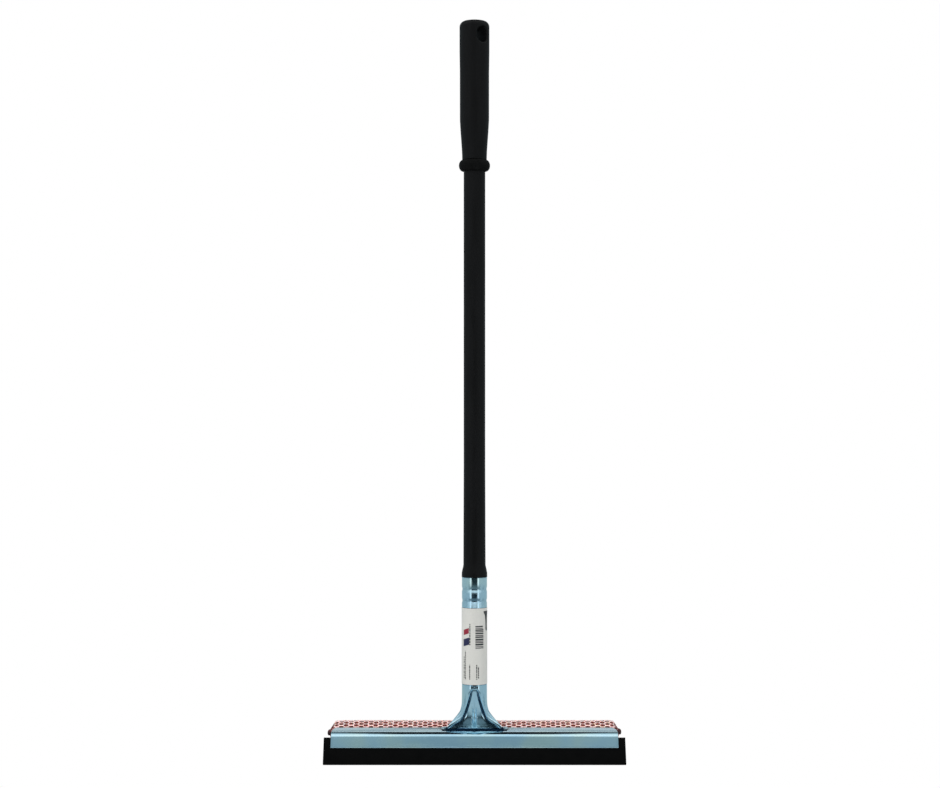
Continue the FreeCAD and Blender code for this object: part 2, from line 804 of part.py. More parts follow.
def slot_sketch(body):
    """The hanging slot's outline, on an upright plane turned away from the front."""
    sketch = new_sketch(body, "slot_outline", "XZ_Plane")
    half = cell("slot_width") / 2
    reach = cell("slot_height") / 2 - half
    high = cell("slot_middle") + reach
    below = cell("slot_middle") - reach
    for x, begin, finish in ((half, below, high), (-half, high, below)):
        line = Part.LineSegment(Vector(x.number, begin.number, 0), Vector(x.number, finish.number, 0))
        sketch.addGeometry(line)
    for level, begin in ((high, 0.0), (below, math.pi)):
        circle = Part.Circle(Vector(0, level.number, 0), Vector(0, 0, 1), half.number)
        sketch.addGeometry(Part.ArcOfCircle(circle, begin, begin + math.pi))
    for first, its_end, second, other_end in ((0, 2, 2, 1), (2, 2, 1, 1), (1, 2, 3, 1), (3, 2, 0, 1)):
        sketch.addConstraint(Sketcher.Constraint("Tangent", first, its_end, second, other_end))
    dimension(sketch, "Radius", 2, size=half)
    pin_point(sketch, 2, 3, 0.0, high)
    pin_point(sketch, 3, 3, 0.0, below)
    turn = cell("slot_turn")
    sketch.AttachmentOffset = Placement(Vector(), Rotation(Vector(0, 1, 0), turn.number))
    sketch.setExpression("AttachmentOffset.Rotation.Angle", f"{turn.text} * 1 deg")
    return sketch


def grip():
    """The hand grip: a socket for the neck below and a hanging slot through its solid top."""
    body = new_body("grip")
    sketch = new_sketch(body, "grip_section", "XZ_Plane")
    bore = cell("neck_radius") + cell("press_room")
    low = cell("grip_low")
    crown = cell("grip_top") - cell("crown_drop")
    outline = [(bore, low)]
    outline += [(radius, low + level) for level, radius in table("grip", GRIP_COLUMNS, GRIP_OUTLINE)]
    rim = outline[-1][0]
    outline += [
        (rim, crown),
        (0.0, cell("grip_top")),
        (0.0, cell("grip_bore_tip")),
        (bore, cell("grip_bore_end")),
    ]
    polygon(sketch, outline)
    solid = turn_about_axis(body, sketch, "grip_turned")

    def crown_rim(edge):
        box = edge.BoundBox
        level = max(abs(box.ZMax - crown.number), abs(box.ZMin - crown.number)) < SAME_LEVEL
        return level and box.XLength > rim.number

    round_edges(body, solid, "grip_crown", cell("grip_round"), crown_rim)
    hole = cut_through(body, slot_sketch(body), "hang_slot")
    turn = Rotation(Vector(0, 1, 0), cell("slot_turn").number)
    through = turn.multVec(Vector(0, -1, 0))
    middle = cell("slot_middle").number
    reach = cell("slot_height").number * SLOT_REACH

    def slot_rim(edge):
        centre, box = edge.CenterOfMass, edge.BoundBox
        level = max(abs(box.ZMax - middle), abs(box.ZMin - middle)) < reach
        near_skin = abs(centre.dot(through)) > rim.number * SKIN_SHARE
        return level and near_skin and math.hypot(centre.x, centre.y) < rim.number

    round_edges(body, hole, "slot_lips", cell("slot_lip"), slot_rim)
    place(body, cell("handle_back"))
    return body


def check_and_export(nodes):
    """Refuses a broken object, then writes one file for each piece."""
    doc.recompute()
    for thing in doc.Objects:
        if {"Invalid", "Error"} & set(thing.State):
            raise RuntimeError(f"{thing.Label} did not recompute: {thing.State}")
    os.makedirs("parts", exist_ok=True)
    for node in nodes:
        if node.Shape.isNull() or not node.Shape.isValid():
            raise RuntimeError(f"{node.Label} has no valid shape")
        node.Shape.exportStep(f"parts/{node.Label}.step")


make_cells()
pieces = [rubber_blade(), head_shell(), backing_plate(), scrubber_sponge(), scrubber_mesh()]
pieces += [rivet("foot_rivet_left", -1), rivet("foot_rivet_right", 1)]
pieces += [ferrule(), product_label(), spigot_core(), handle_shaft(), drip_ring(), grip()]
check_and_export(pieces)
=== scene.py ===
import math
import random

import bmesh
import bpy
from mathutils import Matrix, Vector, noise


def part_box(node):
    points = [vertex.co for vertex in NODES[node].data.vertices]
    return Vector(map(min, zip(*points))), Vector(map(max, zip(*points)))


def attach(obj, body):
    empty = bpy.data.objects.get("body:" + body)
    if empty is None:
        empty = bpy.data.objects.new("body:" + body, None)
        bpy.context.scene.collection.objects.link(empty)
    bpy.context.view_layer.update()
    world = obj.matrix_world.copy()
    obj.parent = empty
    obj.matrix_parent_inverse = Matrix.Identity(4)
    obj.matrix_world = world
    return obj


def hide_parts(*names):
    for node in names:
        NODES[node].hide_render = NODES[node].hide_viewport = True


# The looks of a window squeegee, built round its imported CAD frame. Metres, in the frame's own axes:
# +X along the blade, +Z up the handle, +Y to the back, origin at the middle of the wiping face.

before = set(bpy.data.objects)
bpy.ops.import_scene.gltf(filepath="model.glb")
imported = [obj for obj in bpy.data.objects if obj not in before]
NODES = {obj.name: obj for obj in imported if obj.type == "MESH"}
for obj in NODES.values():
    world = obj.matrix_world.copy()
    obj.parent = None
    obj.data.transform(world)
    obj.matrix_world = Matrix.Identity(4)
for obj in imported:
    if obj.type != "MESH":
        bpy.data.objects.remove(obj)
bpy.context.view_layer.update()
MM = 0.001

HANDLE_Y = sum(c.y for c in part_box("grip")) / 2


# ---------------------------------------------------------------- materials

NOISE_SPAN = (0.3, 0.7)          # nearly all of a noise texture's values lie between these


class Shader:
    """A Principled material with short ways to add the nodes that vary it."""

    def __init__(self, name, color, roughness, **sockets):
        self.material = bpy.data.materials.new(name)
        self.material.use_nodes = True
        self.nodes = self.material.node_tree.nodes
        self.links = self.material.node_tree.links
        self.main = self.nodes["Principled BSDF"]
        self.main.inputs["Base Color"].default_value = (*color, 1)
        self.main.inputs["Roughness"].default_value = roughness
        for socket, value in sockets.items():
            self.main.inputs[socket.replace("_", " ")].default_value = value

    def add(self, kind, **settings):
        node = self.nodes.new(kind)
        for name, value in settings.items():
            if name in node.inputs:
                node.inputs[name].default_value = value
            else:
                setattr(node, name, value)
        return node

    def link(self, out, into):
        self.links.new(out, into)

    def place(self, scale=(1, 1, 1)):
        """Object coordinates in metres, stretched by scale."""
        where = self.add("ShaderNodeTexCoord")
        stretch = self.add("ShaderNodeMapping")
        stretch.inputs["Scale"].default_value = scale
        self.link(where.outputs["Object"], stretch.inputs["Vector"])
        return stretch.outputs["Vector"]

    def noise(self, scale, detail=3.0, stretch=(1, 1, 1)):
        node = self.add("ShaderNodeTexNoise", Scale=scale, Detail=detail)
        self.link(self.place(stretch), node.inputs["Vector"])
        return node.outputs["Fac"]

    def cells(self, scale, feature="F1"):
        node = self.add("ShaderNodeTexVoronoi", feature=feature, Scale=scale)
        self.link(self.place(), node.inputs["Vector"])
        return node.outputs["Distance"]

    def ramp(self, factor, *stops):
        """Colours along a factor, from stops of (place, colour)."""
        node = self.add("ShaderNodeValToRGB")
        ramp = node.color_ramp
        while len(ramp.elements) < len(stops):
            ramp.elements.new(0.5)
        for element, (at, color) in zip(ramp.elements, stops):
            element.position = at
            element.color = (*color, 1)
        self.link(factor, node.inputs["Fac"])
        return node.outputs["Color"]

    def spread(self, factor, low, high):
        """A noise factor stretched to run from low to high."""
        node = self.add("ShaderNodeMapRange")
        spans = zip(("From Min", "From Max", "To Min", "To Max"), (*NOISE_SPAN, low, high))
        for socket, value in spans:
            node.inputs[socket].default_value = value
        self.link(factor, node.inputs["Value"])
        return node.outputs["Result"]

    def color_by(self, factor, *stops):
        self.link(self.ramp(factor, *stops), self.main.inputs["Base Color"])

    def paint_crease_shade(self, reach, *stops):
        """Paints shade into the colour by how open the surface is, from 0 to 1, within reach metres of it:
        darker in creases, recesses and joins between parts.
        """
        nearness = self.add("ShaderNodeAmbientOcclusion", samples=8, Distance=reach)
        tone = self.ramp(nearness.outputs["AO"], *stops)
        base = self.main.inputs["Base Color"]
        mix = self.add("ShaderNodeMixRGB", blend_type="MULTIPLY", Fac=1.0)
        self.link(base.links[0].from_socket, mix.inputs["Color1"])
        self.link(tone, mix.inputs["Color2"])
        self.link(mix.outputs["Color"], base)

    def roughness_by(self, factor, low, high):
        self.link(self.spread(factor, low, high), self.main.inputs["Roughness"])

    def bump_by(self, *heights):
        """Bumps from (height, strength, depth in metres), one on top of the other."""
        normal = None
        for height, strength, depth in heights:
            node = self.add("ShaderNodeBump", Strength=strength, Distance=depth)
            self.link(height, node.inputs["Height"])
            if normal is not None:
                self.link(normal, node.inputs["Normal"])
            normal = node.outputs["Normal"]
        self.link(normal, self.main.inputs["Normal"])


def zinc(name, streaks):
    """Bright blue-passivated zinc plate with rolling streaks along one direction, and shade painted dark
    navy into its creases and joins.
    """
    made = Shader(name, (0.54, 0.79, 0.91), 0.14, Metallic=1.0)
    fine = made.noise(900, 2, streaks)
    broad = made.noise(38, 3)
    made.color_by(
        broad,
        (0.32, (0.49, 0.74, 0.90)), (0.5, (0.54, 0.79, 0.90)), (0.68, (0.60, 0.82, 0.84)),
    )
    made.roughness_by(fine, 0.09, 0.2)
    made.bump_by((fine, 0.05, 0.00005), (made.noise(60, 2), 0.04, 0.0004))
    # Painted shade: within 2 mm of creases, recesses and joins between parts, the colour is multiplied down
    # to dark navy.
    made.paint_crease_shade(0.002, (0.7, (0.008, 0.02, 0.04)), (0.87, (0.05, 0.12, 0.19)), (0.965, (1, 1, 1)))
    return made.material


def black_plastic():
    """Moulded polypropylene: a fine spark-eroded grain and faint scuffs along the handle."""
    made = Shader("black_plastic", (0.0045, 0.0045, 0.0052), 0.5)
    made.main.inputs["Specular IOR Level"].default_value = 0.12
    scuffs = made.noise(160, 4, (1, 1, 0.15))
    made.color_by(scuffs, (0.35, (0.0034, 0.0034, 0.0036)), (0.72, (0.0062, 0.0062, 0.0066)))
    made.roughness_by(scuffs, 0.42, 0.6)
    made.bump_by((made.noise(2600, 2), 0.18, 0.00008))
    return made.material


def rubber(name, level, scale):
    """Soft black rubber with faint mould bloom."""
    made = Shader(name, (level, level, level), 0.55)
    made.main.inputs["Specular IOR Level"].default_value = 0.05
    bloom = made.noise(scale, 4)
    made.color_by(bloom, (0.3, (level * 0.8,) * 3), (0.75, (level * 1.5,) * 3))
    made.roughness_by(bloom, 0.46, 0.68)
    made.bump_by((made.noise(1700, 2), 0.12, 0.00006))
    return made.material


def foam():
    """Open-celled foam: small pores in a red body, with the shade inside them painted dark into the colour.
    """
    made = Shader("sponge_foam", (0.16, 0.03, 0.02), 0.95)
    pores_and_painted_shade = made.cells(900)
    # Painted shade: the colour darkens towards each pore's middle.
    made.color_by(pores_and_painted_shade, (0.0, (0.06, 0.011, 0.008)), (0.55, (0.2, 0.04, 0.028)))
    made.bump_by((pores_and_painted_shade, 0.9, 0.0005), (made.cells(420), 0.6, 0.0006))
    return made.material


def nylon():
    """Thin pink plastic thread that lets a little light through."""
    made = Shader("net_nylon", (0.9, 0.5, 0.46), 0.42)
    made.main.inputs["Subsurface Weight"].default_value = 0.25
    made.main.inputs["Subsurface Radius"].default_value = (0.0012, 0.0005, 0.0004)
    tone = made.noise(120, 3)
    made.color_by(tone, (0.32, (0.95, 0.56, 0.5)), (0.55, (0.98, 0.68, 0.66)), (0.72, (0.95, 0.66, 0.5)))
    made.bump_by((made.noise(2200, 2), 0.25, 0.0001))
    return made.material


def bunched_net_painted_shade(name, *strands):
    """Bunched net: the red foam's colour showing through it, deep shade painted dark into its colour, and
    strands on top.
    """
    made = Shader(name, (0.16, 0.02, 0.02), 0.5)
    threads = made.noise(700, 3, (0.3, 1, 1))
    made.color_by(threads, *strands)
    made.bump_by((threads, 0.8, 0.0004))
    return made.material


def paper():
    """Coated paper with faint fibres, stuck on slightly unevenly."""
    made = Shader("label_paper", (0.62, 0.62, 0.59), 0.4)
    fibres = made.noise(1400, 4)
    made.color_by(fibres, (0.3, (0.61, 0.59, 0.55)), (0.7, (0.68, 0.66, 0.62)))
    made.bump_by((made.noise(90, 2), 0.12, 0.0003), (fibres, 0.06, 0.00004))
    return made.material


def ink(name, color):
    """Print whose density varies a little."""
    made = Shader(name, color, 0.45)
    thin = tuple(c * 0.85 for c in color)
    thick = tuple(c * 1.2 + 0.004 for c in color)
    made.color_by(made.noise(1800, 3), (0.3, thin), (0.7, thick))
    return made.material


def wood():
    """Plain turned wood with its grain up the handle."""
    made = Shader("core_wood", (0.5, 0.36, 0.22), 0.7)
    grain = made.noise(300, 5, (1, 1, 0.06))
    made.color_by(grain, (0.3, (0.42, 0.28, 0.16)), (0.7, (0.58, 0.43, 0.27)))
    made.bump_by((grain, 0.2, 0.0001))
    return made.material


HEAD_ZINC = zinc("zinc_head", (0.04, 1, 1))
TUBE_ZINC = zinc("zinc_tube", (1, 1, 0.04))
PLASTIC = black_plastic()
RING = rubber("ring_rubber", 0.004, 240)
BLADE = rubber("blade_rubber", 0.0014, 140)
FOAM = foam()
NET = nylon()
# Painted shade: the gathered ends of the net run from near black to pink.
GATHERED_PAINTED_SHADE = bunched_net_painted_shade(
    "net_gathered_painted_shade",
    (0.38, (0.03, 0.003, 0.003)), (0.5, (0.14, 0.02, 0.02)),
    (0.58, (0.5, 0.2, 0.19)), (0.68, (0.85, 0.5, 0.47)),
)
# Painted shade: the tied tufts run from near black to dark red.
TIED_PAINTED_SHADE = bunched_net_painted_shade(
    "net_tied_painted_shade",
    (0.4, (0.012, 0.001, 0.002)), (0.58, (0.06, 0.005, 0.007)), (0.72, (0.3, 0.08, 0.08)),
)
PAPER = paper()
INK_DARK = ink("ink_dark", (0.03, 0.03, 0.032))
INK_GREY = ink("ink_grey", (0.02, 0.02, 0.02))
INK_BLUE = ink("ink_blue", (0.01, 0.012, 0.06))
INK_RED = ink("ink_red", (0.27, 0.01, 0.03))
WOOD = wood()

SURFACES = {
    "grip": PLASTIC,
    "handle_shaft": PLASTIC,
    "drip_ring": RING,
    "spigot_core": WOOD,
    "ferrule": TUBE_ZINC,
    "product_label": PAPER,
    "head_shell": HEAD_ZINC,
    "backing_plate": HEAD_ZINC,
    "foot_rivet_left": TUBE_ZINC,
    "foot_rivet_right": TUBE_ZINC,
    "rubber_blade": BLADE,
    "scrubber_sponge": FOAM,
    "scrubber_mesh": NET,
}
SOFT_EDGES = {"head_shell": 0.2, "backing_plate": 0.2, "rubber_blade": 0.25}      # bevel widths in mm
BEVEL_ANGLE = math.radians(50)   # edges sharper than this are bevelled
CREASE_ANGLE = math.radians(38)  # and edges sharper than this are shaded as creases
WELD_DISTANCE = 0.002 * MM


def dress_cad_nodes():
    """Gives each listed CAD node its material, smooth shading up to a crease, and, for those in SOFT_EDGES,
    slightly rounded edges.
    """
    for name, surface in SURFACES.items():
        node = NODES[name]
        if node.data.materials:
            for i in range(len(node.data.materials)):
                node.data.materials[i] = surface
        else:
            node.data.materials.append(surface)
        smooth(node)
        weld = node.modifiers.new("weld", "WELD")
        weld.merge_threshold = WELD_DISTANCE
        if name in SOFT_EDGES:
            bevel = node.modifiers.new("soft_edges", "BEVEL")
            bevel.width = SOFT_EDGES[name] * MM
            bevel.segments = 2
            bevel.limit_method = "ANGLE"
            bevel.angle_limit = BEVEL_ANGLE
        split = node.modifiers.new("creases", "EDGE_SPLIT")
        split.split_angle = CREASE_ANGLE


# ---------------------------------------------------------------- geometry helpers

def keep(obj, slot_name, material, *replaced):
    """Gives a finished piece its material and its place in the frame."""
    obj.data.materials.clear()
    obj.data.materials.append(material)
    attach(obj, "root")
    if replaced:
        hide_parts(*replaced)


def new_object(name, mesh):
    obj = bpy.data.objects.new(name, mesh)
    bpy.context.scene.collection.objects.link(obj)
    return obj


def closed_tube(name, rows, columns, point):
    """A tube with filled ends whose corner lies at point(i, j): i goes round it and j along it."""
    mesh = bpy.data.meshes.new(name)
    points = [point(i, j) for i in range(rows) for j in range(columns)]
    faces = []
    for i in range(rows):
        here = i * columns
        after = (i + 1) % rows * columns
        for j in range(columns - 1):
            faces.append((here + j, here + j + 1, after + j + 1, after + j))
    mesh.from_pydata(points, [], faces)
    mesh.update()
    shape = bmesh.new()
    shape.from_mesh(mesh)
    bmesh.ops.holes_fill(shape, edges=[e for e in shape.edges if e.is_boundary], sides=0)
    bmesh.ops.recalc_face_normals(shape, faces=shape.faces)
    shape.to_mesh(mesh)
    shape.free()
    return new_object(name, mesh)


def smooth(obj):
    for face in obj.data.polygons:
        face.use_smooth = True


def thicken(obj, name, thickness_mm, offset):
    """Gives a sheet of faces a thickness: on both sides for an offset of 0, inwards for -1."""
    thick = obj.modifiers.new(name, "SOLIDIFY")
    thick.thickness = thickness_mm * MM
    thick.offset = offset


def subdivide(obj):
    rounding = obj.modifiers.new("rounding", "SUBSURF")
    rounding.levels = 1
    rounding.render_levels = 2


# ---------------------------------------------------------------- sponge and net

SPONGE_TILT = math.radians(20)
SPONGE_ORIGIN = Vector((0, 36.8 * MM, 24.6 * MM))       # the sponge's top corner beside the steel
SPONGE_OUT = Vector((0, math.cos(SPONGE_TILT), math.sin(SPONGE_TILT)))
SPONGE_UP = Vector((0, -math.sin(SPONGE_TILT), math.cos(SPONGE_TILT)))
PINCH = (8.0, -9.0)              # where the gathered ends of the net close, across and up, in mm
GATHER_X = 119.3                 # the wrapped sponge starts to close here
TIP_X = 124.6                    # and is tied here
GATHER_RUN = 15.0                # length of net from one to the other
PAINTED_SHADE_X = 120.9                   # beyond this the net is bunched, and deep shade is painted into its colour
TIP_SIZE = 0.14                  # the tied tip's size next to the full section


CORNER_STEPS = 16


def rounded_outline(near, far, low, high, radii):
    """Points round a rectangle with rounded corners. Its radii start at the lower near corner."""
    corners = (
        (near, low, radii[0], 180), (far, low, radii[1], 270),
        (far, high, radii[2], 0), (near, high, radii[3], 90),
    )
    points = []
    for x, y, radius, start in corners:
        cx = x + radius if x == near else x - radius
        cy = y + radius if y == low else y - radius
        for step in range(CORNER_STEPS + 1):
            angle = math.radians(start + 90 * step / CORNER_STEPS)
            points.append((cx + radius * math.cos(angle), cy + radius * math.sin(angle)))
    return points


class Outline:
    """A closed outline that gives the point at a distance along it."""

    def __init__(self, points):
        self.points = points
        self.runs = []
        self.total = 0.0
        for here, there in zip(points, points[1:] + points[:1]):
            length = math.dist(here, there)
            self.runs.append((self.total, length))
            self.total += length

    def at(self, distance):
        distance %= self.total
        for i, (start, length) in enumerate(self.runs):
            if distance <= start + length and length > 0:
                t = (distance - start) / length
                a, b = self.points[i], self.points[(i + 1) % len(self.points)]
                return (a[0] + (b[0] - a[0]) * t, a[1] + (b[1] - a[1]) * t)
        return self.points[0]


# The wrapped sponge's section, in mm from its origin: across from the steel, and up.
SECTION = Outline(rounded_outline(0.5, 17.9, -25.3, 0.3, (3.0, 6.5, 8.4, 1.2)))
SECTION_MIDDLE = Vector((9.2, -12.5))
STEEL_SIDE = 2.0                 # nearer the steel than this, the sponge is pressed flat
SWELL = 0.35                     # most that it swells or sinks elsewhere
PLEATS = 9                       # folds round the gathered ends
PLEAT_DEPTH = 0.14


def puff(x_mm, along):
    """How far the wrapped sponge swells, in mm, uneven along its length."""
    return SWELL * noise.noise(Vector((x_mm * 0.028, along * 0.05, 3.7)))


def end_shape(run_mm):
    """Where a point this far along the net lies on the blade's axis, and how far its section has closed."""
    reach = abs(run_mm)
    if reach <= GATHER_X:
        return run_mm, 1.0
    closed = min(1.0, (reach - GATHER_X) / GATHER_RUN)
    x_mm = GATHER_X + (TIP_X - GATHER_X) * closed
    size = 1 - (1 - TIP_SIZE) * closed
    return math.copysign(x_mm, run_mm), size


def wrapped_point(run_mm, along, lift):
    """A point on the wrapped sponge: distance along it and round its section, and lift above it."""
    a, b = SECTION.at(along)
    x_mm, size = end_shape(run_mm)
    swell = lift + puff(x_mm, along)
    outward = Vector((a, b)) - SECTION_MIDDLE
    if a > STEEL_SIDE:
        a += outward.x / outward.length * swell
        b += outward.y / outward.length * swell
    elif swell < 0:
        a -= swell
    fold = math.sin(along * 2 * math.pi * PLEATS / SECTION.total + 0.7)
    size *= 1 + PLEAT_DEPTH * (1 - size) * fold
    a = PINCH[0] + (a - PINCH[0]) * size
    b = PINCH[1] + (b - PINCH[1]) * size
    point = SPONGE_ORIGIN + SPONGE_OUT * (a * MM) + SPONGE_UP * (b * MM)
    point.x = x_mm * MM
    return point


SPONGE_ROWS, SPONGE_COLUMNS = 110, 300
FOAM_LIFT = -0.95                # the foam's surface under the net, in mm
FOAM_ROUGHNESS = 0.16
FOAM_CELLS = 0.9                 # foam cells for each mm


def make_sponge():
    """The foam block, just under the net."""
    span = 2 * (GATHER_X + GATHER_RUN)

    def point(i, j):
        run_mm = -span / 2 + span * j / (SPONGE_COLUMNS - 1)
        along = SECTION.total * i / SPONGE_ROWS
        cells = noise.noise(Vector((run_mm * FOAM_CELLS, along * FOAM_CELLS, 1.0)))
        return wrapped_point(run_mm, along, FOAM_LIFT + FOAM_ROUGHNESS * cells)

    sponge = closed_tube("sponge_foam_block", SPONGE_ROWS, SPONGE_COLUMNS, point)
    smooth(sponge)
    keep(sponge, "sponge_foam", FOAM, "scrubber_sponge")
    sponge.visible_glossy = False


NET_COLUMN = 4.23                # from one column of holes to the next, in mm
NET_ROWS = 19                    # holes round the sponge
NET_WANDER = 0.22                # most that a hole lies off its place, in mm
THREAD = 0.3                     # the net's thickness, in mm
HOLE_HEIGHT = 0.86               # a hole's size round the sponge next to its cell's
CLAMPED_HEIGHT = 0.48            # and beside the steel, where the net is pulled flat
CLAMPED_DEPTH = 2.2              # within this distance of the steel, in mm
# The corners of a cell and of its hole: thirds of a column along the blade, and rows round the sponge.
CELL_CORNERS = ((1, -0.5), (2, 0.0), (1, 0.5), (-1, 0.5), (-2, 0.0), (-1, -0.5))
HOLE_CORNERS = ((1.1, -0.5), (1.6, 0.0), (1.1, 0.5), (-1.1, 0.5), (-1.6, 0.0), (-1.1, -0.5))


def make_net():
    """A knotless net of staggered six-sided holes, wrapped round the sponge and gathered at its ends."""
    row = SECTION.total / NET_ROWS
    third = NET_COLUMN / 3
    end = GATHER_X + GATHER_RUN
    half_columns = int(end // NET_COLUMN)
    shape = bmesh.new()
    shared = {}
    rng = random.Random(11)

    def vertex(run_mm, along):
        run_mm = max(-end, min(end, run_mm))
        return shape.verts.new(wrapped_point(run_mm, along, 0.0))

    for column in range(-half_columns, half_columns + 1):
        for j in range(NET_ROWS):
            place = j + 0.5 * (column % 2)
            cell_x = column * NET_COLUMN
            cell_v = place * row
            hole_x = cell_x + rng.uniform(-NET_WANDER, NET_WANDER)
            hole_v = cell_v + rng.uniform(-NET_WANDER, NET_WANDER)
            beside_steel = SECTION.at(cell_v)[0] < CLAMPED_DEPTH
            height = CLAMPED_HEIGHT if beside_steel else HOLE_HEIGHT
            outer, inner = [], []
            for thirds, rows in CELL_CORNERS:
                key = (column * 3 + thirds, round((place + rows) * 2) % (2 * NET_ROWS))
                if key not in shared:
                    shared[key] = vertex(cell_x + thirds * third, cell_v + rows * row)
                outer.append(shared[key])
            for thirds, rows in HOLE_CORNERS:
                inner.append(vertex(hole_x + thirds * third, hole_v + rows * row * height))
            for k in range(len(outer)):
                after = (k + 1) % len(outer)
                shape.faces.new((outer[k], outer[after], inner[after], inner[k]))
    bmesh.ops.recalc_face_normals(shape, faces=shape.faces)
    mesh = bpy.data.meshes.new("scrubber_net")
    shape.to_mesh(mesh)
    shape.free()
    net = new_object("scrubber_net", mesh)
    thicken(net, "thread", THREAD, 0)
    subdivide(net)
    smooth(net)
    keep(net, "net_nylon", NET, "scrubber_mesh")
    net.visible_glossy = False
    # The net's gathered ends take this second material, with deep shade painted into its colour.
    net.data.materials.append(GATHERED_PAINTED_SHADE)
    for face in net.data.polygons:
        face.material_index = int(abs(face.center.x) > PAINTED_SHADE_X * MM)


# Rings along a tied tuft of net, from the sponge outwards: distance past the tip, radius and depth of the
# pleats, in mm.
TUFT = (
    (-2.4, 3.6, 0.3), (-1.6, 3.0, 0.3), (-0.8, 2.6, 0.3), (0.0, 2.5, 0.3), (0.7, 2.45, 0.3), (1.3, 2.2, 0.3),
    (1.7, 1.7, 0.25), (1.95, 1.0, 0.2), (2.05, 0.3, 0.0),
)
TUFT_ROWS = 56
TUFT_PLEATS = 7
TUFT_TWIST = 0.4                 # phase of the pleats' wave from one ring to the next, in radians
TUFT_WOBBLE = 0.18               # unevenness of the pleats next to their depth
TUFT_SHIFT = 0.5                 # one end is tied this much higher and the other lower, in mm
TUFT_DROOP = 0.25                # how far it sinks for each mm past the tip


def make_tufts():
    """The tied ends of the net: small pleated knobs, with deep shade painted into their colour."""
    for side, label in ((1, "right"), (-1, "left")):
        def point(i, j):
            out, radius, pleat = TUFT[j]
            turn = 2 * math.pi * i / TUFT_ROWS
            wobble = TUFT_WOBBLE * pleat * math.sin(3 * turn + side)
            radius += pleat * math.sin(TUFT_PLEATS * turn + TUFT_TWIST * j) * 0.5 + wobble
            a = PINCH[0] + radius * math.cos(turn)
            b = PINCH[1] + TUFT_SHIFT * side + radius * math.sin(turn) - TUFT_DROOP * max(0.0, out)
            spot = SPONGE_ORIGIN + SPONGE_OUT * (a * MM) + SPONGE_UP * (b * MM)
            spot.x = side * (TIP_X + out) * MM
            return spot

        tuft = closed_tube(f"net_tuft_{label}", TUFT_ROWS, len(TUFT), point)
        subdivide(tuft)
        smooth(tuft)
        # The tufts' material has deep shade painted into its colour.
        keep(tuft, "net_nylon", TIED_PAINTED_SHADE)
        tuft.visible_glossy = False


# ---------------------------------------------------------------- printed label

TUBE_RADIUS = 10.7
GLUE = 0.02
PAPER_DEPTH = 0.15
LABEL_RADIUS = TUBE_RADIUS + GLUE + PAPER_DEPTH
PRINT_DEPTH = 0.03
PATCH_STEPS = 12                 # enough for a flat step to stay outside the round label


def label_patch(name, material, patches):
    """Thin print on the label. A patch has four corners of (degrees from the front, height in mm)."""
    shape = bmesh.new()
    for low_left, low_right, high_right, high_left in patches:
        grid = []
        for i in range(PATCH_STEPS + 1):
            t = i / PATCH_STEPS
            pair = []
            for left, right in ((low_left, low_right), (high_left, high_right)):
                turn = math.radians(left[0] + (right[0] - left[0]) * t)
                level = left[1] + (right[1] - left[1]) * t
                radius = (LABEL_RADIUS + PRINT_DEPTH) * MM
                pair.append(shape.verts.new((
                    radius * math.sin(turn), HANDLE_Y - radius * math.cos(turn), level * MM,
                )))
            grid.append(pair)
        for here, after in zip(grid, grid[1:]):
            shape.faces.new((here[0], after[0], after[1], here[1]))
    mesh = bpy.data.meshes.new(name)
    shape.to_mesh(mesh)
    shape.free()
    patch = new_object(name, mesh)
    thicken(patch, "print", PRINT_DEPTH, -1)
    keep(patch, "label_paper", material)


def bar(left, right, low, high):
    return ((left, low), (right, low), (right, high), (left, high))


STRIPES = (95.2, 114.6)          # heights that the stripes run between, in mm
SHORTER_FROM = 111               # above this they are a little shorter
# Columns of dashes: degrees from the front, and the heights they run between.
DASHES = ((-53, 70, 88), (-45, 69, 93), (-22, 69, 81.5), (-21, 98, 116), (10, 69, 81.5), (18, 70, 80))
DASH_HALF = 2.4                  # half a dash's width, in degrees


def make_label_print():
    """Generic print: stripes, rows of dashes, two coloured blocks and a wedge, with no readable sign."""
    rng = random.Random(4)
    stripes = []
    level, top = STRIPES
    while level < top:
        height = rng.choice((0.6, 0.8, 1.2, 1.5))
        stripes.append(bar(4, 44 if level < SHORTER_FROM else 40, level, level + height))
        level += height + rng.choice((0.4, 0.5, 0.7))
    label_patch("label_stripes", INK_DARK, stripes)
    label_patch("label_block_blue", INK_BLUE, [((-58, 96.5), (-24, 98.5), (-24, 104.5), (-58, 102.5))])
    label_patch("label_block_red", INK_RED, [((-56, 106), (-26, 108), (-26, 112.5), (-56, 110.5))])
    label_patch("label_wedge", INK_DARK, [((60, 110), (74, 110), (92, 126.5), (45, 126.5))])
    dashes = []
    for turn, level, high in DASHES:
        while level < high:
            run = rng.uniform(0.6, 2.4)
            dashes.append(bar(turn - DASH_HALF, turn + DASH_HALF, level, min(high, level + run)))
            level += run + rng.uniform(0.3, 0.6)
    label_patch("label_dashes", INK_GREY, dashes)


# ---------------------------------------------------------------- studio

